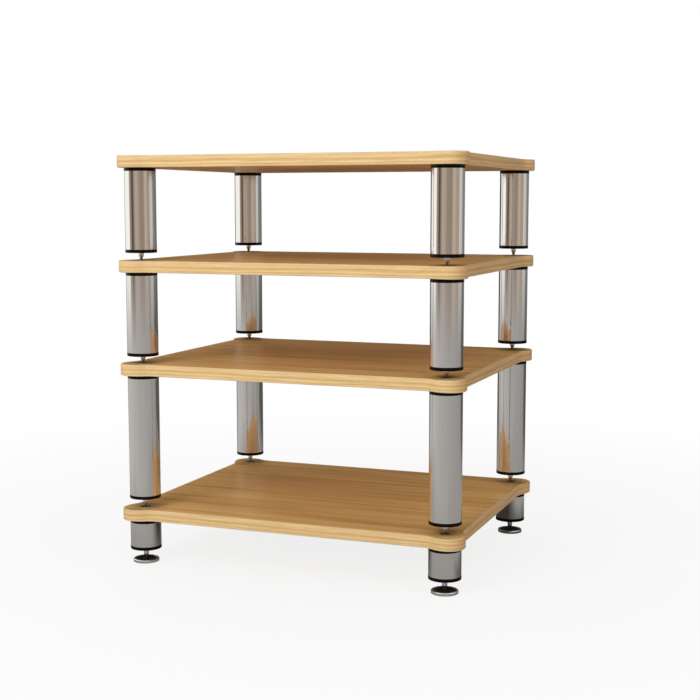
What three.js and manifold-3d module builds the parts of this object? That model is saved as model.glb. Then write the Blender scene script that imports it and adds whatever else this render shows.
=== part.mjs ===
// A four-shelf audio equipment rack, in millimetres, +Z up, origin on the floor
// under its middle, front towards -Y.
//
// Each of its four tiers is a wooden board on four short columns. A column is a
// bright tube clamped between two black end caps by a long bolt, which comes down
// through the board from a flush head. A steel spike screws up into the lower cap,
// and its point stands in the dimple of the bolt head below it. The lowest spikes
// stand in round floor pads and level the rack.

import * as THREE from 'three';
import { mergeVertices } from 'three/addons/utils/BufferGeometryUtils.js';
import Module from 'manifold-3d';

const wasm = await Module();
wasm.setup();

// The board.
const SHELF_WIDTH = 577;
const SHELF_DEPTH = 468.5;
const SHELF_THICKNESS = 19;
const SHELF_EDGE_ROUND = 2;
const CORNER_RADIUS = 25;
const WAIST_INSET = 11;
const WAIST_RUN = 40;
const COLUMN_INSET = 33;

// The column.
const TUBE_RADIUS = 25;
const TUBE_WALL = 2;
const CAP_OVERHANG = 0.25;
const CAP_THICKNESS = 5.25;
const UPPER_PLUG_HEIGHT = 8;
const PLUG_ROOF = 2;

// The long bolt.
const BOLT_RADIUS = 4;
const HEAD_RADIUS = 8;
const HEAD_HEIGHT = 3;
const DIMPLE_DEPTH = 1.5;
const DIMPLE_FLOOR_RADIUS = 1.5;
const DIMPLE_MOUTH_RADIUS = 3.5;

// The spike.
const SPIKE_RADIUS = 4.2;
const SPIKE_TIP_RADIUS = 1;
const SPIKE_CONE_LENGTH = 10;
const SPIKE_LENGTH = 32;
const SPIKE_TRAVEL = 5;

// The floor pad and the dished insert in it.
const PAD_RADIUS = 21;
const PAD_HEIGHT = 5;
const PAD_BEVEL = 1;
const PAD_RIM_WIDTH = 3.5;
const PAD_FLOOR = 1.2;
const INSERT_FLOOR = 0.8;
const INSERT_LIP_WIDTH = 1.2;
const INSERT_LIP_DROP = 0.4;
const INSERT_SEAT_RADIUS = 2;

// Room between a piece and the hole that holds it, and the overrun of every cut.
const FIT_CLEARANCE = 0.3;
const CUT_OVERRUN = 1;

// Sides of the round pieces, and points on each curve of the board's outline.
const ROUND_SIDES = 24;
const HEAD_SIDES = 12;
const SPIKE_SIDES = 12;
const HIDDEN_SIDES = 8;
const ARC_POINTS = 6;
const BEND_POINTS = 6;

// The length of each tier's tubes, and how far its spikes stand out of the lower caps.
const BASE_TUBE_LENGTH = 39;
const LOWER_TUBE_LENGTH = 191.5;
const UPPER_TUBE_LENGTH = 124.25;
const TOP_TUBE_LENGTH = 124.25;
const BASE_SPIKE_OUT = 20.5;
const LOWER_SPIKE_OUT = 17.25;
const UPPER_SPIKE_OUT = 13.5;
const TOP_SPIKE_OUT = 13.5;

// The tiers from the floor up.
const TIERS = [
  { name: 'base', tubeLength: BASE_TUBE_LENGTH, spikeOut: BASE_SPIKE_OUT },
  { name: 'lower', tubeLength: LOWER_TUBE_LENGTH, spikeOut: LOWER_SPIKE_OUT },
  { name: 'upper', tubeLength: UPPER_TUBE_LENGTH, spikeOut: UPPER_SPIKE_OUT },
  { name: 'top', tubeLength: TOP_TUBE_LENGTH, spikeOut: TOP_SPIKE_OUT },
];

const columnX = SHELF_WIDTH / 2 - COLUMN_INSET;
const columnY = SHELF_DEPTH / 2 - COLUMN_INSET;
const COLUMNS = [
  { name: 'front_left', x: -columnX, y: -columnY },
  { name: 'front_right', x: columnX, y: -columnY },
  { name: 'rear_left', x: -columnX, y: columnY },
  { name: 'rear_right', x: columnX, y: columnY },
];

const wood = { color: 0xdcb580, roughness: 0.38, metalness: 0 };
const brightMetal = { color: 0xb4b1ac, roughness: 0.12, metalness: 1 };
const blackPlastic = { color: 0x0e0d0c, roughness: 0.25, metalness: 0 };
const spikeSteel = { color: 0x9c9a94, roughness: 0.2, metalness: 1 };
const padSteel = { color: 0x8c8b88, roughness: 0.18, metalness: 1 };
const blackRubber = { color: 0x131211, roughness: 0.55, metalness: 0 };

const rack = new THREE.Group();

function addPiece(name, geometry, finish, x, y, z) {
  const mesh = new THREE.Mesh(geometry, new THREE.MeshStandardMaterial(finish));
  mesh.name = name;
  mesh.position.set(x, y, z);
  rack.add(mesh);
}

// A closed mesh with shared corners and no collapsed triangles.
function weld(geometry) {
  const bare = geometry.clone();
  bare.deleteAttribute('normal');
  bare.deleteAttribute('uv');
  const merged = mergeVertices(bare);
  const corners = merged.index.array;
  const kept = [];
  for (let i = 0; i < corners.length; i += 3) {
    const [a, b, c] = [corners[i], corners[i + 1], corners[i + 2]];
    if (a !== b && b !== c && c !== a) kept.push(a, b, c);
  }
  merged.setIndex(kept);
  return merged;
}

function solid(geometry) {
  const welded = weld(geometry);
  return new wasm.Manifold(new wasm.Mesh({
    numProp: 3,
    vertProperties: new Float32Array(welded.attributes.position.array),
    triVerts: new Uint32Array(welded.index.array),
  }));
}

function geometryOf(body) {
  const mesh = body.getMesh();
  const geometry = new THREE.BufferGeometry();
  geometry.setAttribute('position', new THREE.BufferAttribute(mesh.vertProperties, 3));
  geometry.setIndex(new THREE.BufferAttribute(mesh.triVerts, 1));
  geometry.computeVertexNormals();
  return geometry;
}

// A profile of [radius, height] pairs, turned about the Z axis.
function turned(profile, sides) {
  const points = profile.map(([radius, height]) => new THREE.Vector2(radius, height));
  return weld(new THREE.LatheGeometry(points, sides).rotateX(Math.PI / 2));
}

function rod(radius, from, to, sides) {
  return turned([[0, from], [radius, from], [radius, to], [0, to]], sides);
}

// The corner radius of a hole with this many sides that a shaft clears all round.
function boreRadius(shaftRadius, sides) {
  return (shaftRadius + FIT_CLEARANCE) / Math.cos(Math.PI / sides);
}

// One quarter of the board's outline: in from the waist at the side, round the
// corner lobe, and out to the waist at the back.
function quarterOutline() {
  const halfWidth = SHELF_WIDTH / 2;
  const halfDepth = SHELF_DEPTH / 2;
  const arcX = halfWidth - CORNER_RADIUS;
  const arcY = halfDepth - CORNER_RADIUS;
  const waistX = halfWidth - WAIST_INSET;
  const waistY = halfDepth - WAIST_INSET;
  const sideBend = new THREE.CubicBezierCurve(
    new THREE.Vector2(waistX, arcY - WAIST_RUN),
    new THREE.Vector2(waistX, arcY - WAIST_RUN / 2),
    new THREE.Vector2(halfWidth, arcY - WAIST_RUN / 2),
    new THREE.Vector2(halfWidth, arcY),
  );
  const corner = new THREE.EllipseCurve(arcX, arcY, CORNER_RADIUS, CORNER_RADIUS, 0, Math.PI / 2);
  const backBend = new THREE.CubicBezierCurve(
    new THREE.Vector2(arcX, halfDepth),
    new THREE.Vector2(arcX - WAIST_RUN / 2, halfDepth),
    new THREE.Vector2(arcX - WAIST_RUN / 2, waistY),
    new THREE.Vector2(arcX - WAIST_RUN, waistY),
  );
  return [
    ...sideBend.getPoints(BEND_POINTS),
    ...corner.getPoints(ARC_POINTS).slice(1),
    ...backBend.getPoints(BEND_POINTS).slice(1),
  ];
}

function shelfOutline() {
  const quarter = quarterOutline();
  const mirrored = (mirrorX, mirrorY) => quarter.map((p) => new THREE.Vector2(mirrorX * p.x, mirrorY * p.y));
  return new THREE.Shape([
    ...quarter,
    ...mirrored(-1, 1).reverse(),
    ...mirrored(-1, -1),
    ...mirrored(1, -1).reverse(),
  ]);
}

// The board, with a counterbored hole over each column for the long bolt.
function shelfGeometry() {
  const board = new THREE.ExtrudeGeometry(shelfOutline(), {
    depth: SHELF_THICKNESS - 2 * SHELF_EDGE_ROUND,
    bevelThickness: SHELF_EDGE_ROUND,
    bevelSize: SHELF_EDGE_ROUND,
    bevelOffset: -SHELF_EDGE_ROUND,
    bevelSegments: 1,
  }).translate(0, 0, SHELF_EDGE_ROUND);
  const top = SHELF_THICKNESS + CUT_OVERRUN;
  const hole = rod(boreRadius(BOLT_RADIUS, HIDDEN_SIDES), -CUT_OVERRUN, top, HIDDEN_SIDES);
  const pocket = rod(boreRadius(HEAD_RADIUS, HEAD_SIDES), SHELF_THICKNESS - HEAD_HEIGHT, top, HEAD_SIDES);
  const boltCut = solid(hole).add(solid(pocket));
  const cuts = COLUMNS.map(({ x, y }) => boltCut.translate(x, y, 0));
  return geometryOf(cuts.reduce((rest, cut) => rest.subtract(cut), solid(board)));
}

function tubeGeometry(length) {
  const bore = TUBE_RADIUS - TUBE_WALL;
  return turned([[bore, 0], [TUBE_RADIUS, 0], [TUBE_RADIUS, length], [bore, length], [bore, 0]], ROUND_SIDES);
}

// The two end caps with the plugs that centre the tube, and the long bolt with its
// flush, dimpled head over the board. Its foot is the underside of the lower cap.
function capsAndBoltGeometry({ tubeLength, spikeOut }) {
  const capRadius = TUBE_RADIUS + CAP_OVERHANG;
  const plugRadius = (TUBE_RADIUS - TUBE_WALL) * Math.cos(Math.PI / ROUND_SIDES) - FIT_CLEARANCE;
  const boreDepth = SPIKE_LENGTH - spikeOut + SPIKE_TRAVEL + FIT_CLEARANCE;
  const lowerPlugTop = boreDepth + PLUG_ROOF;
  const upperCapFoot = CAP_THICKNESS + tubeLength;
  const shelfFoot = upperCapFoot + CAP_THICKNESS;
  const headTop = shelfFoot + SHELF_THICKNESS;
  const joined = [
    rod(capRadius, 0, CAP_THICKNESS, ROUND_SIDES),
    rod(plugRadius, CAP_THICKNESS / 2, lowerPlugTop, HIDDEN_SIDES),
    rod(BOLT_RADIUS, lowerPlugTop - PLUG_ROOF / 2, headTop - HEAD_HEIGHT / 2, HIDDEN_SIDES),
    rod(plugRadius, upperCapFoot - UPPER_PLUG_HEIGHT, upperCapFoot + CAP_THICKNESS / 2, HIDDEN_SIDES),
    rod(capRadius, upperCapFoot, shelfFoot, ROUND_SIDES),
    rod(HEAD_RADIUS, headTop - HEAD_HEIGHT, headTop, HEAD_SIDES),
  ].map(solid).reduce((whole, piece) => whole.add(piece));
  const bore = rod(boreRadius(SPIKE_RADIUS, HIDDEN_SIDES), -CUT_OVERRUN, boreDepth, HIDDEN_SIDES);
  const mouthSlope = (DIMPLE_MOUTH_RADIUS - DIMPLE_FLOOR_RADIUS) / DIMPLE_DEPTH;
  const dimple = turned([
    [0, headTop - DIMPLE_DEPTH],
    [DIMPLE_FLOOR_RADIUS, headTop - DIMPLE_DEPTH],
    [DIMPLE_MOUTH_RADIUS + mouthSlope * CUT_OVERRUN, headTop + CUT_OVERRUN],
    [0, headTop + CUT_OVERRUN],
  ], HIDDEN_SIDES);
  return geometryOf(joined.subtract(solid(bore)).subtract(solid(dimple)));
}

// The spike, with its point at the origin.
function spikeGeometry() {
  return turned([
    [0, 0],
    [SPIKE_TIP_RADIUS, 0],
    [SPIKE_RADIUS, SPIKE_CONE_LENGTH],
    [SPIKE_RADIUS, SPIKE_LENGTH],
    [0, SPIKE_LENGTH],
  ], SPIKE_SIDES);
}

// The round steel pad, with a shallow recess for the insert.
function padGeometry() {
  const recess = PAD_RADIUS - PAD_RIM_WIDTH;
  return turned([
    [0, 0],
    [PAD_RADIUS, 0],
    [PAD_RADIUS, PAD_HEIGHT - PAD_BEVEL],
    [PAD_RADIUS - PAD_BEVEL, PAD_HEIGHT],
    [recess, PAD_HEIGHT],
    [recess, PAD_FLOOR],
    [0, PAD_FLOOR],
  ], ROUND_SIDES);
}

// The dished insert, which the point of the floor spike stands in.
function insertGeometry() {
  const radius = (PAD_RADIUS - PAD_RIM_WIDTH) * Math.cos(Math.PI / ROUND_SIDES) - FIT_CLEARANCE;
  const lip = PAD_HEIGHT - INSERT_LIP_DROP;
  return turned([
    [0, PAD_FLOOR],
    [radius, PAD_FLOOR],
    [radius, lip],
    [radius - INSERT_LIP_WIDTH, lip],
    [INSERT_SEAT_RADIUS, PAD_FLOOR + INSERT_FLOOR],
    [0, PAD_FLOOR + INSERT_FLOOR],
  ], ROUND_SIDES);
}

const shelf = shelfGeometry();
const spike = spikeGeometry();
const pad = padGeometry();
const insert = insertGeometry();

for (const { name, x, y } of COLUMNS) {
  addPiece(`floor_pad_${name}`, pad, padSteel, x, y, 0);
  addPiece(`floor_pad_insert_${name}`, insert, blackRubber, x, y, 0);
}

// Each tier's spikes stand on the level that the tier below gives them.
let standLevel = PAD_FLOOR + INSERT_FLOOR;
for (const tier of TIERS) {
  const capFoot = standLevel + tier.spikeOut;
  const tubeFoot = capFoot + CAP_THICKNESS;
  const shelfFoot = tubeFoot + tier.tubeLength + CAP_THICKNESS;
  const tube = tubeGeometry(tier.tubeLength);
  const capsAndBolt = capsAndBoltGeometry(tier);
  for (const { name, x, y } of COLUMNS) {
    addPiece(`${tier.name}_spike_${name}`, spike, spikeSteel, x, y, standLevel);
    addPiece(`${tier.name}_tube_${name}`, tube, brightMetal, x, y, tubeFoot);
    addPiece(`${tier.name}_caps_and_bolt_${name}`, capsAndBolt, blackPlastic, x, y, capFoot);
  }
  addPiece(`${tier.name}_shelf`, shelf, wood, 0, 0, shelfFoot);
  standLevel = shelfFoot + SHELF_THICKNESS - DIMPLE_DEPTH;
}

export default rack;
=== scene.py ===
"""An audio equipment rack: four wooden tiers on bright columns, each standing on steel spikes."""
import math

import bpy
from mathutils import Matrix, Vector


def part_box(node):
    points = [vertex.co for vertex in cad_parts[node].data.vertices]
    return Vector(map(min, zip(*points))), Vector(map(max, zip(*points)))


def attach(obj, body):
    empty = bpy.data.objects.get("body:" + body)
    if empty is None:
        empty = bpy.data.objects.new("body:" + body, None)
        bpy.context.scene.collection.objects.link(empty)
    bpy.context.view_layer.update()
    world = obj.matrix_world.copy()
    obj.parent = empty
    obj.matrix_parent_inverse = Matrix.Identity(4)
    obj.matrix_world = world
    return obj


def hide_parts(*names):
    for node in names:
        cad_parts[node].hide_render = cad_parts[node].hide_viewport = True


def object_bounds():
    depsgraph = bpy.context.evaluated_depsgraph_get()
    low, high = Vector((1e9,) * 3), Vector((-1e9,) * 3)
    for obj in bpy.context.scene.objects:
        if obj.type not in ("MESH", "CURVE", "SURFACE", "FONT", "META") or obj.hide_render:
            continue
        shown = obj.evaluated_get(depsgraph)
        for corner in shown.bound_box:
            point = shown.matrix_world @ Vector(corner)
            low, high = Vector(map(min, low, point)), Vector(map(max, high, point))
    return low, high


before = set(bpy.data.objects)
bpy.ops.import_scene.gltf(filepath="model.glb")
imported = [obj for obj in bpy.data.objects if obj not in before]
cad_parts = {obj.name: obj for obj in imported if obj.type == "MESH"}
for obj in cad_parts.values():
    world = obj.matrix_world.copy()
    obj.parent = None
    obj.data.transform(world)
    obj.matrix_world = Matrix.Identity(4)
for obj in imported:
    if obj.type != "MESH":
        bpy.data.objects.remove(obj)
cad_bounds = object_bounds()

# The camera stands before the rack, to the right of its middle and between its two upper
# boards in height, and looks slightly down. Its place is in metres, its angles in degrees,
# and its sensor and lens in millimetres.
CAMERA_PLACE = (0.8148, -2.0689, 0.5857)
CAMERA_AZIMUTH = 20.87
CAMERA_TILT = 6.37
CAMERA_SENSOR = 36
CAMERA_LENS = 68.06

camera = bpy.data.objects.new("camera", bpy.data.cameras.new("camera"))
camera.data.sensor_width = CAMERA_SENSOR
camera.data.lens = CAMERA_LENS
camera.location = CAMERA_PLACE
camera.rotation_euler = (math.radians(90 - CAMERA_TILT), 0, math.radians(CAMERA_AZIMUTH))
bpy.context.scene.collection.objects.link(camera)
bpy.context.scene.camera = camera

# Floor pads: four steel discs under the floor spikes. Each is turned from bar, recessed
# on top for its insert, bevelled round the rim and polished, and stands loose on the floor.
PAD_BEVEL = 0.001
PAD_RIM_WIDTH = 0.0035
PAD_FLOOR = 0.0012
PAD_EDGE_ROUND = 0.00035
PAD_SIDES = 96
SPINE_RADIUS = 0.1
MERGE_DISTANCE = 1e-6
ROUND_STEPS = 4
PATTERN_LOW, PATTERN_HIGH = 0.3, 0.7
CORNERS = ("front_left", "front_right", "rear_left", "rear_right")


def step(tree, kind, inputs=None, **settings):
    """Adds a node. Its inputs are values, or the outputs of earlier nodes."""
    made = tree.nodes.new(kind)
    for name, value in settings.items():
        setattr(made, name, value)
    for key, value in (inputs or {}).items():
        if isinstance(value, bpy.types.NodeSocket):
            tree.links.new(value, made.inputs[key])
        else:
            made.inputs[key].default_value = value
    return made


def shape_tree(name, inputs):
    """A geometry tree with these named inputs, and its input node's outputs."""
    tree = bpy.data.node_groups.new(name, "GeometryNodeTree")
    tree.interface.new_socket("Geometry", in_out="OUTPUT", socket_type="NodeSocketGeometry")
    for label, kind in {"Geometry": "Geometry", **inputs, "Material": "Material"}.items():
        tree.interface.new_socket(label, in_out="INPUT", socket_type="NodeSocket" + kind)
    return tree, step(tree, "NodeGroupInput").outputs


def end_tree(tree, shape, material):
    """Ends a geometry tree with its shape made real, smooth and of one material."""
    real = step(tree, "GeometryNodeRealizeInstances", {"Geometry": shape})
    smooth = step(tree, "GeometryNodeSetShadeSmooth", {"Geometry": real.outputs[0]})
    dressed = step(tree, "GeometryNodeSetMaterial", {
        "Geometry": smooth.outputs[0], "Material": material,
    })
    step(tree, "NodeGroupOutput", {0: dressed.outputs[0]})


def use_tree(draft, tree, values):
    """Works a geometry tree on a draft piece, with values for the tree's named inputs."""
    modifier = draft.modifiers.new(tree.name, "NODES")
    modifier.node_group = tree
    for item in tree.interface.items_tree:
        if item.in_out == "INPUT" and item.name in values:
            modifier[item.identifier] = values[item.name]


def draft_object(name, points, edges, faces=()):
    """An object from points, and the edges or faces that join them by number."""
    mesh = bpy.data.meshes.new(name)
    mesh.from_pydata(points, edges, faces)
    draft = bpy.data.objects.new(name, mesh)
    bpy.context.scene.collection.objects.link(draft)
    return draft


def plain_mesh(draft):
    """The mesh that the draft's modifiers make, with even shading over its flat faces."""
    draft.modifiers.new("even shading", "WEIGHTED_NORMAL")
    graph = bpy.context.evaluated_depsgraph_get()
    mesh = bpy.data.meshes.new_from_object(draft.evaluated_get(graph), depsgraph=graph)
    bpy.data.objects.remove(draft)
    return mesh


def lathe_tree():
    """Rounds a profile's corners and turns it about the Z axis."""
    tree, given = shape_tree("lathe", {"Edge Round": "Float", "Sides": "Int"})
    outline = step(tree, "GeometryNodeMeshToCurve", {"Mesh": given["Geometry"]})
    rounded = step(tree, "GeometryNodeFilletCurve", {
        "Curve": outline.outputs[0], "Count": ROUND_STEPS, "Radius": given["Edge Round"],
        "Limit Radius": True,
    }, mode="POLY")
    spine = step(tree, "GeometryNodeCurvePrimitiveCircle", {
        "Resolution": given["Sides"], "Radius": SPINE_RADIUS,
    })
    swept = step(tree, "GeometryNodeCurveToMesh", {
        "Curve": spine.outputs[0], "Profile Curve": rounded.outputs[0],
    })
    merged = step(tree, "GeometryNodeMergeByDistance", {
        "Geometry": swept.outputs[0], "Distance": MERGE_DISTANCE,
    })
    outward = step(tree, "GeometryNodeFlipFaces", {"Mesh": merged.outputs[0]})
    end_tree(tree, outward.outputs[0], given["Material"])
    return tree


LATHE = lathe_tree()


def turned_draft(profile, material, sides, edge_round, ring=False):
    """A draft piece from (radius, height) corners. A ring's profile closes on itself."""
    # Swept round the spine, a point's X runs outwards from it and its Y runs down.
    points = [(radius - SPINE_RADIUS, -height, 0) for radius, height in profile]
    edges = [(i, i + 1) for i in range(len(points) - 1)]
    if ring:
        edges.append((len(points) - 1, 0))
    draft = draft_object("turned", points, edges)
    use_tree(draft, LATHE, {"Edge Round": edge_round, "Sides": sides, "Material": material})
    return draft


def set_piece(name, mesh, place, body, slot, *nodes):
    """A copy of the mesh at its place, which rides on a body and stands for CAD nodes."""
    own = mesh.copy()
    own.transform(Matrix.Translation(place))
    piece = bpy.data.objects.new(name, own)
    bpy.context.scene.collection.objects.link(piece)
    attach(piece, body)
    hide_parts(*nodes)


def finish(name, values):
    """A material whose shader has these uniform values, its tree and its shader's inputs."""
    material = bpy.data.materials.new(name)
    material.use_nodes = True
    sockets = material.node_tree.nodes["Principled BSDF"].inputs
    for socket, value in values.items():
        sockets[socket].default_value = value
    return material, material.node_tree, sockets


def own_place(tree):
    """Where a point lies, on the object's own coordinates."""
    return step(tree, "ShaderNodeTexCoord").outputs["Object"]


def streaks(tree, per_metre, detail, distortion=0.0):
    """Noise with so many features a metre each way."""
    sized = step(tree, "ShaderNodeMapping", {"Vector": own_place(tree), "Scale": per_metre})
    noise = step(tree, "ShaderNodeTexNoise", {
        "Vector": sized.outputs[0], "Scale": 1.0, "Detail": detail, "Distortion": distortion,
    })
    return noise.outputs["Fac"]


def between(tree, value, low, high, start=PATTERN_LOW, end=PATTERN_HIGH):
    """Stretches the start to end part of a value over low to high."""
    return step(tree, "ShaderNodeMapRange", {
        "Value": value, "From Min": start, "From Max": end, "To Min": low, "To Max": high,
    }).outputs["Result"]


def colours(tree, value, stops):
    """Blends the colours of (position, colour) stops by a value."""
    ramp = step(tree, "ShaderNodeValToRGB", {"Fac": value})
    while len(ramp.color_ramp.elements) < len(stops):
        ramp.color_ramp.elements.new(0.5)
    for element, (position, colour) in zip(ramp.color_ramp.elements, stops):
        element.position = position
        element.color = (*colour, 1)
    return ramp.outputs["Color"]


def vary_colour(tree, sockets, pattern, dark, light):
    """Colours a surface from dark to light by a pattern."""
    blended = colours(tree, pattern, [(PATTERN_LOW, dark), (PATTERN_HIGH, light)])
    tree.links.new(blended, sockets["Base Color"])


def vary_roughness(tree, sockets, pattern, smooth, rough):
    """Dulls a surface from smooth to rough by a pattern."""
    tree.links.new(between(tree, pattern, smooth, rough), sockets["Roughness"])


def relief(tree, sockets, pattern, depth):
    """Raises a surface by a pattern, to this depth."""
    bump = step(tree, "ShaderNodeBump", {"Height": pattern, "Strength": 1.0, "Distance": depth})
    tree.links.new(bump.outputs[0], sockets["Normal"])


def foot_of(node):
    """The middle of a node's foot."""
    low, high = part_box(node)
    return Vector(((low.x + high.x) / 2, (low.y + high.y) / 2, low.z))


def top_of(node):
    """The level of a node's top."""
    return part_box(node)[1].z


def round_size(node):
    """The radius and the height of a round node."""
    foot, (low, high) = foot_of(node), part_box(node)
    return high.x - foot.x, high.z - low.z


def pad_steel():
    """Polished steel, worn in patches over the fine rings of its turning."""
    material, tree, sockets = finish("polished pad steel", {"Metallic": 1.0})
    wear = streaks(tree, (90, 90, 260), detail=4.0)
    vary_colour(tree, sockets, wear, dark=(0.78, 0.78, 0.77), light=(0.90, 0.90, 0.88))
    vary_roughness(tree, sockets, wear, smooth=0.20, rough=0.32)
    relief(tree, sockets, streaks(tree, (60, 60, 5000), detail=2.0), depth=0.000003)
    return material


PAD_RADIUS, PAD_HEIGHT = round_size("floor_pad_front_left")
pad_mesh = plain_mesh(turned_draft([
    (0, 0),
    (PAD_RADIUS, 0),
    (PAD_RADIUS, PAD_HEIGHT - PAD_BEVEL),
    (PAD_RADIUS - PAD_BEVEL, PAD_HEIGHT),
    (PAD_RADIUS - PAD_RIM_WIDTH, PAD_HEIGHT),
    (PAD_RADIUS - PAD_RIM_WIDTH, PAD_FLOOR),
    (0, PAD_FLOOR),
], pad_steel(), PAD_SIDES, PAD_EDGE_ROUND))
for corner in CORNERS:
    pad = f"floor_pad_{corner}"
    set_piece(f"floor_disc_{corner}", pad_mesh, foot_of(pad), pad, "pad_steel", pad)

# Pad inserts: a black dish pressed into each floor pad, which keeps the spike's point in
# the middle and off the steel. Moulded in hard rubber, with a raised lip.
INSERT_FLOOR = 0.0008
INSERT_LIP_WIDTH = 0.0012
INSERT_SEAT_RADIUS = 0.002
INSERT_EDGE_ROUND = 0.0003
DISH_STEPS = 8
DISH_POWER = 1.6


def insert_rubber():
    """Hard black rubber with the faint mottle of its mould."""
    material, tree, sockets = finish("black insert rubber", {"Specular IOR Level": 0.1})
    mottle = streaks(tree, (400, 400, 400), detail=4.0)
    vary_colour(tree, sockets, mottle, dark=(0.010, 0.010, 0.010), light=(0.022, 0.021, 0.020))
    vary_roughness(tree, sockets, mottle, smooth=0.30, rough=0.45)
    relief(tree, sockets, mottle, depth=0.00003)
    return material


def insert_profile(radius, height):
    """Up the outside to the lip, then down the dish, steep at first and flat at its seat."""
    lip = radius - INSERT_LIP_WIDTH
    dish = []
    for i in range(DISH_STEPS, -1, -1):
        share = i / DISH_STEPS
        dish.append((INSERT_SEAT_RADIUS + (lip - INSERT_SEAT_RADIUS) * share,
                     INSERT_FLOOR + (height - INSERT_FLOOR) * share ** DISH_POWER))
    return [(0, 0), (radius, 0), (radius, height), *dish, (0, INSERT_FLOOR)]


insert_mesh = plain_mesh(turned_draft(
    insert_profile(*round_size("floor_pad_insert_front_left")),
    insert_rubber(), PAD_SIDES, INSERT_EDGE_ROUND))
for corner in CORNERS:
    insert = f"floor_pad_insert_{corner}"
    set_piece(f"floor_dish_{corner}", insert_mesh, foot_of(insert), f"floor_pad_{corner}",
              "pad_insert", insert)

# Spikes: sixteen steel points, one under each column. Each is turned to a cone below a
# plain neck and plated with bright zinc, and its upper part has an M8 thread that screws
# up into the lower cap.
SPIKE_CONE_LENGTH = 0.010
SPIKE_NECK_LENGTH = 0.006
SPIKE_TIP_RADIUS = 0.001
SPIKE_EDGE_ROUND = 0.0003
THREAD_PITCH = 0.00125
THREAD_DEPTH = 0.0005
THREAD_SINK = 0.0001
THREAD_STEPS = 24
RIB_SIDES = 3
RIB_HEIGHT_TO_RADIUS = 1.5
SPIKE_SIDES = 48
TIERS = ("base", "lower", "upper", "top")


def maths(tree, operation, first, second):
    """The sum, product or other outcome of two values."""
    return step(tree, "ShaderNodeMath", {0: first, 1: second}, operation=operation).outputs[0]


def thread_tree():
    """Winds a right-hand thread, a three-sided rib, round a rod along the Z axis."""
    tree, given = shape_tree("thread", {
        "Crest Radius": "Float", "Foot": "Float", "Length": "Float", "Pitch": "Float", "Depth": "Float",
    })
    radius = maths(tree, "SUBTRACT", given["Crest Radius"], given["Depth"])
    helix = step(tree, "GeometryNodeCurveSpiral", {
        "Resolution": THREAD_STEPS, "Rotations": maths(tree, "DIVIDE", given["Length"], given["Pitch"]),
        "Start Radius": radius, "End Radius": radius, "Height": given["Length"], "Reverse": True,
    })
    rib = step(tree, "GeometryNodeCurvePrimitiveCircle", {
        "Resolution": RIB_SIDES, "Radius": given["Depth"],
    })
    wound = step(tree, "GeometryNodeCurveToMesh", {
        "Curve": helix.outputs[0], "Profile Curve": rib.outputs[0], "Fill Caps": True,
    })
    foot = step(tree, "ShaderNodeCombineXYZ", {"Z": given["Foot"]})
    raised = step(tree, "GeometryNodeTransform", {
        "Geometry": wound.outputs[0], "Translation": foot.outputs[0],
    })
    joined = step(tree, "GeometryNodeJoinGeometry", {"Geometry": given["Geometry"]})
    tree.links.new(raised.outputs[0], joined.inputs[0])
    end_tree(tree, joined.outputs[0], given["Material"])
    return tree


THREAD = thread_tree()


def root_radius(crest):
    """The radius of the core that a thread with this crest is wound on."""
    return crest - THREAD_DEPTH * RIB_HEIGHT_TO_RADIUS + THREAD_SINK


def spike_steel():
    """Bright plated steel with the fine rings of its turning."""
    material, tree, sockets = finish("turned spike steel", {"Metallic": 1.0})
    rings = streaks(tree, (30, 30, 4000), detail=2.0)
    vary_colour(tree, sockets, rings, dark=(0.78, 0.81, 0.84), light=(0.90, 0.93, 0.96))
    vary_roughness(tree, sockets, rings, smooth=0.25, rough=0.35)
    relief(tree, sockets, rings, depth=0.00001)
    return material


SPIKE_RADIUS, SPIKE_LENGTH = round_size("base_spike_front_left")
neck_top = SPIKE_CONE_LENGTH + SPIKE_NECK_LENGTH
spike_finish = spike_steel()
spike_draft = turned_draft([
    (0, 0),
    (SPIKE_TIP_RADIUS, 0),
    (SPIKE_RADIUS, SPIKE_CONE_LENGTH),
    (SPIKE_RADIUS, neck_top),
    (root_radius(SPIKE_RADIUS), neck_top + THREAD_DEPTH),
    (root_radius(SPIKE_RADIUS), SPIKE_LENGTH),
    (0, SPIKE_LENGTH),
], spike_finish, SPIKE_SIDES, SPIKE_EDGE_ROUND)
use_tree(spike_draft, THREAD, {
    "Crest Radius": SPIKE_RADIUS, "Foot": neck_top + THREAD_PITCH,
    "Length": SPIKE_LENGTH - neck_top - 2 * THREAD_PITCH, "Pitch": THREAD_PITCH,
    "Depth": THREAD_DEPTH, "Material": spike_finish,
})
spike_mesh = plain_mesh(spike_draft)
for tier in TIERS:
    for corner in CORNERS:
        spike = f"{tier}_spike_{corner}"
        set_piece(f"{tier}_point_{corner}", spike_mesh, foot_of(spike), spike, "spike_steel", spike)

# Tubes: sixteen lengths of 50 mm steel tube, chromed and polished along their length.
# Each is clamped between two caps, with its ends sawn square and the burr taken off.
TUBE_WALL = 0.002
TUBE_EDGE_ROUND = 0.0001
TUBE_SIDES = 128


def tube_chrome():
    """Mirror chrome with faint lines from its polishing and a haze here and there."""
    material, tree, sockets = finish("polished tube chrome", {"Metallic": 1.0})
    lines = streaks(tree, (700, 700, 3), detail=3.0)
    vary_colour(tree, sockets, lines, dark=(0.82, 0.80, 0.77), light=(0.86, 0.84, 0.81))
    haze = streaks(tree, (40, 40, 12), detail=4.0)
    vary_roughness(tree, sockets, haze, smooth=0.06, rough=0.12)
    relief(tree, sockets, streaks(tree, (350, 350, 2), detail=2.0), depth=0.0000006)
    return material


def tube_profile(radius, length):
    """The four corners of the tube's wall."""
    bore = radius - TUBE_WALL
    return [(bore, 0), (radius, 0), (radius, length), (bore, length)]


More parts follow.
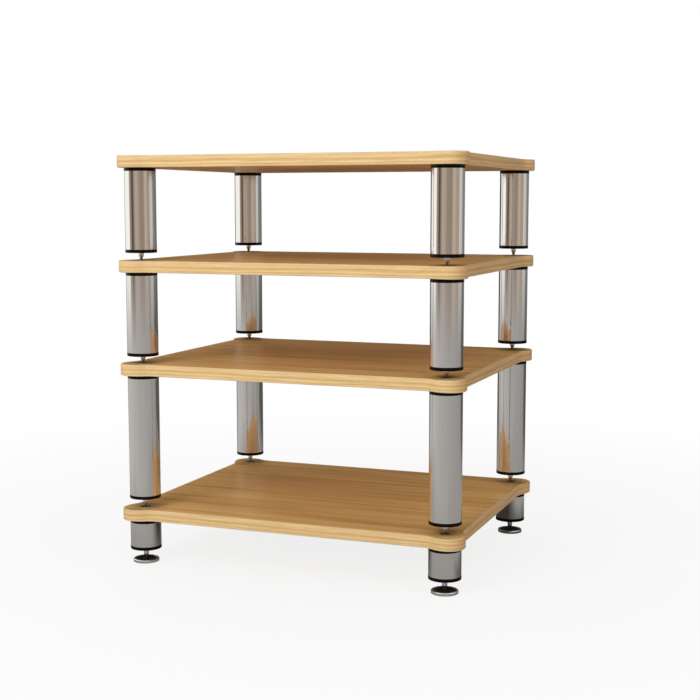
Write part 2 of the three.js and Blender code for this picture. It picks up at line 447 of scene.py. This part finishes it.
chrome = tube_chrome()
for tier in TIERS:
    wall = tube_profile(*round_size(f"{tier}_tube_front_left"))
    tube_mesh = plain_mesh(turned_draft(wall, chrome, TUBE_SIDES, TUBE_EDGE_ROUND, ring=True))
    for corner in CORNERS:
        tube = f"{tier}_tube_{corner}"
        set_piece(f"{tier}_column_tube_{corner}", tube_mesh, foot_of(tube), f"{tier}_tier",
                  "bright_tube", tube)

# End caps: thirty-two black plastic discs, moulded glossy, one at each end of a tube. A
# plug centres the tube. The lower cap's plug is deep and holds the spike's thread.
CAP_EDGE_ROUND = 0.0005
PLUG_CLEARANCE = 0.0005
BORE_CLEARANCE = 0.0002
UPPER_PLUG_HEIGHT = 0.008
SPIKE_TRAVEL = 0.0053
PLUG_ROOF = 0.002
BOLT_RADIUS = 0.004
CAP_SIDES = 128


def cap_plastic():
    """Glossy black plastic with faint flow marks and a fine grain."""
    material, tree, sockets = finish("black cap plastic", {"Specular IOR Level": 0.09})
    flow = streaks(tree, (60, 60, 60), detail=3.0)
    vary_colour(tree, sockets, flow, dark=(0.0030, 0.0020, 0.0010), light=(0.0065, 0.0045, 0.0025))
    vary_roughness(tree, sockets, flow, smooth=0.10, rough=0.22)
    relief(tree, sockets, streaks(tree, (900, 900, 900), detail=2.0), depth=0.000006)
    return material


def upper_cap_profile(radius, plug, thickness):
    """A disc with a short plug below it, and the bolt's hole through both."""
    hole = BOLT_RADIUS + BORE_CLEARANCE
    return [(hole, -UPPER_PLUG_HEIGHT), (plug, -UPPER_PLUG_HEIGHT), (plug, 0), (radius, 0),
            (radius, thickness), (hole, thickness)]


def lower_cap_profile(radius, plug, thickness, bore_depth):
    """A disc with a deep plug on it, the spike's bore from below and the bolt's hole on top."""
    bore = SPIKE_RADIUS + BORE_CLEARANCE
    hole = BOLT_RADIUS + BORE_CLEARANCE
    top = bore_depth + PLUG_ROOF
    return [(bore, 0), (radius, 0), (radius, thickness), (plug, thickness), (plug, top), (hole, top),
            (hole, bore_depth), (bore, bore_depth)]


plastic = cap_plastic()
for tier in TIERS:
    first_column, first_tube = f"{tier}_caps_and_bolt_front_left", f"{tier}_tube_front_left"
    foot = foot_of(first_column).z
    cap_radius = round_size(first_column)[0]
    thickness = foot_of(first_tube).z - foot
    plug = round_size(first_tube)[0] - TUBE_WALL - PLUG_CLEARANCE
    bore_depth = top_of(f"{tier}_spike_front_left") + SPIKE_TRAVEL - foot
    caps = {}
    for end, profile, rise in (
        ("lower", lower_cap_profile(cap_radius, plug, thickness, bore_depth), 0),
        ("upper", upper_cap_profile(cap_radius, plug, thickness), top_of(first_tube) - foot),
    ):
        cap_mesh = plain_mesh(turned_draft(profile, plastic, CAP_SIDES, CAP_EDGE_ROUND, ring=True))
        caps[end] = (cap_mesh, Vector((0, 0, rise)))
    for corner in CORNERS:
        column = f"{tier}_caps_and_bolt_{corner}"
        for end, (cap_mesh, rise) in caps.items():
            set_piece(f"{tier}_{end}_cap_{corner}", cap_mesh, foot_of(column) + rise, f"{tier}_tier",
                      "black_cap", column)

# Long bolts: sixteen M8 bolts that clamp each board to its columns. A browned, flush
# head lies in the board, with a dimple for the next spike, and the end screws into the cap.
HEAD_RADIUS = 0.008
HEAD_HEIGHT = 0.003
DIMPLE_DEPTH = 0.0015
DIMPLE_MOUTH_RADIUS = 0.0035
DIMPLE_FLOOR_RADIUS = 0.0015
BOLT_EDGE_ROUND = 0.0003
BOLT_THREAD_LENGTH = 0.010
BOLT_END_GAP = 0.0003
BOLT_SIDES = 48


def column_points(tree, given):
    """A point at each of the four columns, which form a rectangle."""
    return step(tree, "GeometryNodeMeshGrid", {
        "Size X": given["Width"], "Size Y": given["Depth"], "Vertices X": 2, "Vertices Y": 2,
    }).outputs[0]


def columns_tree():
    """Stands a copy of a piece at each column."""
    tree, given = shape_tree("columns", {"Width": "Float", "Depth": "Float"})
    stood = step(tree, "GeometryNodeInstanceOnPoints", {
        "Points": column_points(tree, given), "Instance": given["Geometry"],
    })
    end_tree(tree, stood.outputs[0], given["Material"])
    return tree


COLUMNS = columns_tree()


def bolt_steel():
    """Browned steel with an uneven bloom."""
    material, tree, sockets = finish("browned bolt steel", {"Metallic": 0.8})
    bloom = streaks(tree, (300, 300, 900), detail=4.0)
    vary_colour(tree, sockets, bloom, dark=(0.17, 0.11, 0.06), light=(0.32, 0.22, 0.13))
    vary_roughness(tree, sockets, bloom, smooth=0.35, rough=0.55)
    relief(tree, sockets, bloom, depth=0.00002)
    return material


browned = bolt_steel()
right_column = foot_of("base_tube_front_right")
column_spacing = {"Width": 2 * right_column.x, "Depth": -2 * right_column.y}
for tier in TIERS:
    head_top = top_of(f"{tier}_caps_and_bolt_front_left")
    bolt_foot = top_of(f"{tier}_spike_front_left") + SPIKE_TRAVEL + BOLT_END_GAP
    bolt_draft = turned_draft([
        (0, bolt_foot),
        (root_radius(BOLT_RADIUS), bolt_foot),
        (root_radius(BOLT_RADIUS), bolt_foot + BOLT_THREAD_LENGTH),
        (BOLT_RADIUS, bolt_foot + BOLT_THREAD_LENGTH),
        (BOLT_RADIUS, head_top - HEAD_HEIGHT),
        (HEAD_RADIUS, head_top - HEAD_HEIGHT),
        (HEAD_RADIUS, head_top),
        (DIMPLE_MOUTH_RADIUS, head_top),
        (DIMPLE_FLOOR_RADIUS, head_top - DIMPLE_DEPTH),
        (0, head_top - DIMPLE_DEPTH),
    ], browned, BOLT_SIDES, BOLT_EDGE_ROUND)
    use_tree(bolt_draft, THREAD, {
        "Crest Radius": BOLT_RADIUS, "Foot": bolt_foot + THREAD_PITCH,
        "Length": BOLT_THREAD_LENGTH - THREAD_PITCH, "Pitch": THREAD_PITCH,
        "Depth": THREAD_DEPTH, "Material": browned,
    })
    use_tree(bolt_draft, COLUMNS, {**column_spacing, "Material": browned})
    set_piece(f"{tier}_long_bolts", plain_mesh(bolt_draft), (0, 0, 0), f"{tier}_tier", "black_cap",
              *[f"{tier}_caps_and_bolt_{corner}" for corner in CORNERS])

# Boards: four shelves of laminated beech, sawn to one outline with lobes over the columns
# and drawn-in sides, rounded on every edge, drilled for the bolts and lacquered clear.
CORNER_RADIUS = 0.025
WAIST_INSET = 0.011
WAIST_RUN = 0.040
BOARD_EDGE_ROUND = 0.002
LEAST_EDGE_ANGLE = 60
ARC_STEPS = 20
BEND_STEPS = 16
HOLE_SIDES = 48
HOLE_CLEARANCE = 0.0003

# The colours of the wood, each at its place in a pattern: the brown faces by their streaks,
# the pale edge by its layers from the foot up, and the tint of the end grain by how
# squarely it faces sideways.
FACE_TONES = (
    (0.30, (0.53, 0.29, 0.088)), (0.44, (0.64, 0.365, 0.12)), (0.56, (0.715, 0.43, 0.15)),
    (0.72, (0.785, 0.495, 0.19)),
)
EDGE_LAYERS = (
    (0.04, (0.88, 0.64, 0.36)), (0.13, (0.84, 0.58, 0.29)), (0.22, (0.70, 0.455, 0.20)),
    (0.33, (0.90, 0.64, 0.31)), (0.43, (0.80, 0.54, 0.24)), (0.54, (0.70, 0.44, 0.18)),
    (0.68, (0.87, 0.60, 0.28)), (0.90, (0.80, 0.57, 0.30)),
)
END_GRAIN_TINTS = ((0.4, (1.0, 1.0, 1.0)), (0.95, (1.0, 0.90, 0.83)))
LAYER_WANDER = 0.07
FACE_START, FACE_END = 0.75, 0.97
FLECK_START, FLECK_END = 0.58, 0.70


def bend(steps):
    """Shares of the way across and along an S that leaves and arrives in its long direction."""
    points = []
    for i in range(steps):
        t = i / steps
        ease = t * t * (3 - 2 * t)
        along = 0.5 * (3 * t * (1 - t) + 2 * t ** 3)
        points.append((ease, along))
    return points


def quarter_outline(half_width, half_depth):
    """In from the waist at the side, round the corner lobe, and out to the waist behind."""
    arc_x, arc_y = half_width - CORNER_RADIUS, half_depth - CORNER_RADIUS
    points = []
    for ease, along in bend(BEND_STEPS):
        points.append((half_width - WAIST_INSET * (1 - ease), arc_y - WAIST_RUN * (1 - along)))
    for i in range(ARC_STEPS):
        angle = math.pi / 2 * i / ARC_STEPS
        points.append((arc_x + CORNER_RADIUS * math.cos(angle), arc_y + CORNER_RADIUS * math.sin(angle)))
    for ease, along in bend(BEND_STEPS):
        points.append((arc_x - WAIST_RUN * along, half_depth - WAIST_INSET * ease))
    points.append((arc_x - WAIST_RUN, half_depth - WAIST_INSET))
    return points


def board_outline(half_width, half_depth):
    """The quarter, mirrored to all four corners, with its points in one order round."""
    quarter = quarter_outline(half_width, half_depth)
    turns = [(1, 1, 1), (-1, 1, -1), (-1, -1, 1), (1, -1, -1)]
    return [(x * sign_x, y * sign_y) for sign_x, sign_y, order in turns for x, y in quarter[::order]]


def wall_faces(count):
    """The faces of a wall between a ring of points and a like ring above it."""
    return [(i, (i + 1) % count, (i + 1) % count + count, i + count) for i in range(count)]


def drill_tree():
    """Drills a bolt hole and the pocket for its head over each column."""
    tree, given = shape_tree("drill", {
        "Width": "Float", "Depth": "Float", "Hole Radius": "Float", "Pocket Radius": "Float",
        "Pocket Depth": "Float", "Thickness": "Float",
    })
    columns = column_points(tree, given)
    cut = given["Geometry"]
    for radius, depth, level in (
        (given["Hole Radius"], given["Thickness"], maths(tree, "DIVIDE", given["Thickness"], 2.0)),
        (given["Pocket Radius"], given["Pocket Depth"], given["Thickness"]),
    ):
        # A bit is twice as long as its cut, so that it comes out past the board's face.
        bit = step(tree, "GeometryNodeMeshCylinder", {
            "Vertices": HOLE_SIDES, "Radius": radius, "Depth": maths(tree, "MULTIPLY", depth, 2.0),
        })
        lift = step(tree, "ShaderNodeCombineXYZ", {"Z": level})
        raised = step(tree, "GeometryNodeTransform", {
            "Geometry": bit.outputs[0], "Translation": lift.outputs[0],
        })
        bits = step(tree, "GeometryNodeInstanceOnPoints", {"Points": columns, "Instance": raised.outputs[0]})
        real = step(tree, "GeometryNodeRealizeInstances", {"Geometry": bits.outputs[0]})
        drilled = step(tree, "GeometryNodeMeshBoolean", {"Mesh 1": cut}, operation="DIFFERENCE",
                       solver="EXACT")
        tree.links.new(real.outputs[0], drilled.inputs["Mesh 2"])
        cut = drilled.outputs[0]
    end_tree(tree, cut, given["Material"])
    return tree


def layered(mesh, thickness):
    """Stores each point's height in the board, from 0 at its foot to 1 at its top."""
    heights = mesh.attributes.new("layer", "FLOAT", "POINT")
    heights.data.foreach_set("value", [point.co.z / thickness for point in mesh.vertices])
    return mesh


# A Mix node's sockets share their names, so they go by number: 2 and 3 are its values, and
# 6 and 7 its colours, whose outcome is number 2.
def mix_values(tree, share, under, over):
    """A blend of two values."""
    return step(tree, "ShaderNodeMix", {0: share, 2: under, 3: over}).outputs[0]


def mix_colours(tree, share, under, over, how="MIX"):
    """A blend of two colours."""
    return step(tree, "ShaderNodeMix", {0: share, 6: under, 7: over}, data_type="RGBA",
                blend_type=how).outputs[2]


def parts_of(tree, vector):
    """A vector's X, Y and Z."""
    return step(tree, "ShaderNodeSeparateXYZ", {"Vector": vector}).outputs


def board_wood():
    """Beech: streaks along the faces, short flecks, level layers round a pale edge, warm ends."""
    material, tree, sockets = finish("lacquered beech", {"Specular IOR Level": 0.12})
    facing = step(tree, "ShaderNodeNewGeometry").outputs["Normal"]
    turned_away = step(tree, "ShaderNodeVectorMath", {0: facing}, operation="ABSOLUTE")
    towards = parts_of(tree, turned_away.outputs[0])
    on_face = between(tree, towards["Z"], 0.0, 1.0, FACE_START, FACE_END)
    face = colours(tree, streaks(tree, (2.6, 75, 75), detail=8.0, distortion=0.3), FACE_TONES)
    layer = step(tree, "ShaderNodeAttribute", attribute_name="layer").outputs["Fac"]
    wander = between(tree, streaks(tree, (5, 5, 40), detail=3.0), -LAYER_WANDER, LAYER_WANDER)
    edge = colours(tree, maths(tree, "ADD", layer, wander), EDGE_LAYERS)
    end_grain = colours(tree, towards["X"], END_GRAIN_TINTS)
    band = mix_colours(tree, 1.0, edge, end_grain, how="MULTIPLY")
    board = mix_colours(tree, on_face, band, face)
    flecks = streaks(tree, (120, 1300, 1300), detail=2.0)
    fleck = between(tree, flecks, 1.0, 0.86, FLECK_START, FLECK_END)
    edge_fibre = between(tree, streaks(tree, (13, 13, 350), detail=5.0), 0.86, 1.10)
    face_fibre = between(tree, streaks(tree, (5, 420, 420), detail=4.0), 0.92, 1.08)
    depth_of_tone = maths(tree, "MULTIPLY", fleck, mix_values(tree, on_face, edge_fibre, face_fibre))
    dressed = step(tree, "ShaderNodeVectorMath", {0: board, "Scale": depth_of_tone}, operation="SCALE")
    tree.links.new(dressed.outputs[0], sockets["Base Color"])
    vary_roughness(tree, sockets, flecks, smooth=0.30, rough=0.42)
    relief(tree, sockets, flecks, depth=0.00002)
    return material


DRILL = drill_tree()
wood = board_wood()
for tier in TIERS:
    low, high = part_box(f"{tier}_shelf")
    thickness = high.z - low.z
    outline = board_outline(high.x, high.y)
    count = len(outline)
    points = [(x, y, level) for level in (0, thickness) for x, y in outline]
    ends = [tuple(range(count))[::-1], tuple(range(count, 2 * count))]
    board_draft = draft_object("board", points, [], wall_faces(count) + ends)
    rounding = board_draft.modifiers.new("rounding", "BEVEL")
    rounding.width = BOARD_EDGE_ROUND
    rounding.segments = ROUND_STEPS
    rounding.limit_method = "ANGLE"
    rounding.angle_limit = math.radians(LEAST_EDGE_ANGLE)
    use_tree(board_draft, DRILL, {
        **column_spacing, "Hole Radius": BOLT_RADIUS + HOLE_CLEARANCE,
        "Pocket Radius": HEAD_RADIUS + HOLE_CLEARANCE, "Pocket Depth": HEAD_HEIGHT,
        "Thickness": thickness, "Material": wood,
    })
    board_mesh = layered(plain_mesh(board_draft), thickness)
    set_piece(f"{tier}_board", board_mesh, (0, 0, low.z), f"{tier}_tier", "beech_board", f"{tier}_shelf")

# The studio: a pale floor that runs out to a white surround, three soft lamps, and two
# glowing cards that only bright metal and lacquer mirror, painted with the reflections they
# give: a ring round the rack, and a disc on the floor with a painted shadow of the rack.
WHITE = (1, 1, 1, 1)
FLOOR_COLOUR = (0.75, 0.75, 0.75, 1)
FLOOR_ROUGHNESS = 0.9
FLOOR_RADIUS = 12.0
FLOOR_FADE_START, FLOOR_FADE_END = 0.2, 1.5
FLOOR_FADE_LEAST = 0.84
SURROUND_LIGHT = 0.35
CARD_RADIUS, CARD_HEIGHT, REAR_CARD_HEIGHT = 3.0, 1.6, 5.0
CARD_SIDES = 72
CARD_FADE_FOOT, CARD_FADE_TOP = 0.05, 0.40
FLOOR_CARD_LIFT = 0.0003

# Each tone of the ring is its angle in degrees from the front, its brightness and its
# tint. The low tones are those at its foot and of the disc, away from the rack. All of them
# are painted reflections: glowing bands, light, dark and warm, for the metal to mirror.
PLAIN, WARM = (1.0, 0.98, 0.96), (1.0, 0.81, 0.65)
RING_REFLECTION_TONES = (
    (-122, 0.07, PLAIN), (-117, 1.0, PLAIN), (-59, 1.1, PLAIN), (-57, 0.42, WARM), (-49, 0.36, WARM),
    (-43, 0.30, WARM), (-37, 0.08, WARM), (-30, 0.10, WARM), (-18, 0.43, WARM), (-6, 0.51, WARM),
    (4, 0.47, WARM), (20, 0.33, WARM), (44, 0.31, WARM), (56, 0.56, WARM), (72, 0.50, WARM),
    (78, 0.39, WARM), (86, 0.47, WARM), (92, 0.37, WARM), (98, 0.64, PLAIN), (124, 0.60, PLAIN),
    (128, 0.27, PLAIN), (168, 0.20, PLAIN), (180, 0.07, PLAIN),
)
LOW_REFLECTION_TONES = (
    (-122, 0.10, PLAIN), (-117, 0.55, PLAIN), (-60, 0.53, PLAIN), (-20, 0.46, PLAIN), (20, 0.42, PLAIN),
    (60, 0.38, PLAIN), (118, 0.33, PLAIN), (132, 0.10, PLAIN),
)

# The painted shadow on the disc is measured in half widths and half depths of the rack. Its
# tones go by the share of the way out to where it ends, and then it fades into the low tones.
SHADE_END, SHADE_FADE = 1.5, 4.0
SHADE_TONES = ((0.4, (0.04, 0.035, 0.03)), (0.67, (0.14, 0.13, 0.12)), (1.0, (0.34, 0.33, 0.32)))
SHADE_SHIFT = (-0.08, -0.09, 0)


def backdrop_rays(tree):
    """1 for rays from the camera, from glossy surfaces and through glass, else 0."""
    path = step(tree, "ShaderNodeLightPath").outputs
    seen = maths(tree, "MAXIMUM", path["Is Camera Ray"], path["Is Glossy Ray"])
    return maths(tree, "MAXIMUM", seen, path["Is Transmission Ray"])


def floor_paint():
    """A pale matt paint that shows mostly white where it is seen, and all white farther out."""
    material, tree, _ = finish("pale floor", {"Base Color": FLOOR_COLOUR, "Roughness": FLOOR_ROUGHNESS})
    reach = step(tree, "ShaderNodeVectorMath", {0: own_place(tree)}, operation="LENGTH").outputs["Value"]
    far = between(tree, reach, FLOOR_FADE_LEAST, 1.0, FLOOR_FADE_START, FLOOR_FADE_END)
    fade = maths(tree, "MULTIPLY", far, backdrop_rays(tree))
    white = step(tree, "ShaderNodeEmission", {"Color": WHITE, "Strength": 1.0})
    painted = tree.nodes["Principled BSDF"].outputs[0]
    mixed = step(tree, "ShaderNodeMixShader", {0: fade, 1: painted, 2: white.outputs[0]})
    tree.links.new(mixed.outputs[0], tree.nodes["Material Output"].inputs["Surface"])
    return material


floor = draft_object("studio_floor", [
    (-FLOOR_RADIUS, -FLOOR_RADIUS, 0), (FLOOR_RADIUS, -FLOOR_RADIUS, 0),
    (FLOOR_RADIUS, FLOOR_RADIUS, 0), (-FLOOR_RADIUS, FLOOR_RADIUS, 0),
], [], [(0, 1, 2, 3)])
floor.data.materials.append(floor_paint())


def glow(name, paint):
    """A card's material, which gives out the colour that its paint blends."""
    material = bpy.data.materials.new(name)
    material.use_nodes = True
    tree = material.node_tree
    light = step(tree, "ShaderNodeEmission", {"Color": paint(tree), "Strength": 1.0})
    tree.links.new(light.outputs[0], tree.nodes["Material Output"].inputs["Surface"])
    return material


def set_card(name, points, faces, material):
    """A card that is seen in reflections alone."""
    card = draft_object(name, points, [], faces)
    card.data.materials.append(material)
    for rays in ("camera", "diffuse", "shadow", "transmission", "volume_scatter"):
        setattr(card, f"visible_{rays}", False)


def round_ramp(tree, tones):
    """Tones that blend round the rack by their angles."""
    parts = parts_of(tree, own_place(tree))
    forward = maths(tree, "MULTIPLY", parts["Y"], -1.0)
    turn = maths(tree, "ARCTAN2", parts["X"], forward)
    share = between(tree, turn, 0.0, 1.0, -math.pi, math.pi)
    return colours(tree, share, [
        ((angle + 180) / 360, [brightness * part for part in tint]) for angle, brightness, tint in tones
    ])


def ring_paint(tree):
    """The painted reflection tones of the ring, which sink to the low tones at its foot."""
    height = parts_of(tree, own_place(tree))["Z"]
    rise = between(tree, height, 0.0, 1.0, CARD_FADE_FOOT, CARD_FADE_TOP)
    return mix_colours(tree, rise, round_ramp(tree, LOW_REFLECTION_TONES), round_ramp(tree, RING_REFLECTION_TONES))


def shade_paint(tree):
    """The low tones, and a painted shadow of the rack under it and a little to its rear and right."""
    shifted = step(tree, "ShaderNodeVectorMath", {0: own_place(tree), 1: SHADE_SHIFT}, operation="ADD")
    sized = step(tree, "ShaderNodeVectorMath", {
        0: shifted.outputs[0], 1: (1 / cad_bounds[1].x, 1 / cad_bounds[1].y, 1),
    }, operation="MULTIPLY")
    apart = step(tree, "ShaderNodeVectorMath", {0: sized.outputs[0]}, operation="ABSOLUTE")
    sides = parts_of(tree, apart.outputs[0])
    farther = maths(tree, "MAXIMUM", sides["X"], sides["Y"])
    shade = colours(tree, between(tree, farther, 0.0, 1.0, 0.0, SHADE_END), SHADE_TONES)
    away = between(tree, farther, 0.0, 1.0, SHADE_END, SHADE_FADE)
    return mix_colours(tree, away, shade, round_ramp(tree, LOW_REFLECTION_TONES))


angles = [2 * math.pi * i / CARD_SIDES for i in range(CARD_SIDES)]
rim = [(CARD_RADIUS * math.cos(angle), CARD_RADIUS * math.sin(angle)) for angle in angles]
ring_points = [(x, y, 0) for x, y in rim]
ring_points += [(x, y, REAR_CARD_HEIGHT if y > CARD_RADIUS / 2 else CARD_HEIGHT) for x, y in rim]
# The ring glows with painted reflections; the disc glows with them and a painted shadow of the rack.
set_card("ring_card", ring_points, wall_faces(CARD_SIDES), glow("ring_painted_reflections", ring_paint))
set_card("floor_card", [(x, y, FLOOR_CARD_LIFT) for x, y in rim], [tuple(range(CARD_SIDES))],
         glow("floor_painted_shadow_and_reflections", shade_paint))


def lamp(name, azimuth, elevation, distance, size, power):
    """A square soft lamp that points at the middle of the rack and shows in no mirror image.

    The azimuth goes from the front to the right, in degrees. The power is in watts.
    """
    data = bpy.data.lights.new(name, "AREA")
    data.size = size
    data.energy = power
    made = bpy.data.objects.new(name, data)
    turn, rise = math.radians(azimuth), math.radians(elevation)
    back = Vector((math.sin(turn) * math.cos(rise), -math.cos(turn) * math.cos(rise), math.sin(rise)))
    made.location = Vector((0, 0, cad_bounds[1].z / 2)) + distance * back
    made.rotation_euler = back.to_track_quat("Z", "Y").to_euler()
    made.visible_glossy = False
    bpy.context.scene.collection.objects.link(made)


lamp("key_lamp", azimuth=-15, elevation=30, distance=2.6, size=1.6, power=36)
lamp("fill_lamp", azimuth=62, elevation=45, distance=2.1, size=1.6, power=7.5)
lamp("back_lamp", azimuth=215, elevation=35, distance=2.8, size=1.6, power=14)

world = bpy.data.worlds.new("studio")
bpy.context.scene.world = world
world.use_nodes = True
surround = world.node_tree
light = step(surround, "ShaderNodeBackground", {"Color": WHITE, "Strength": SURROUND_LIGHT})
white = step(surround, "ShaderNodeBackground", {"Color": WHITE, "Strength": 1.0})
both = step(surround, "ShaderNodeMixShader", {
    0: backdrop_rays(surround), 1: light.outputs[0], 2: white.outputs[0],
})
surround.links.new(both.outputs[0], surround.nodes["World Output"].inputs["Surface"])

bpy.context.scene.view_settings.view_transform = "Standard"
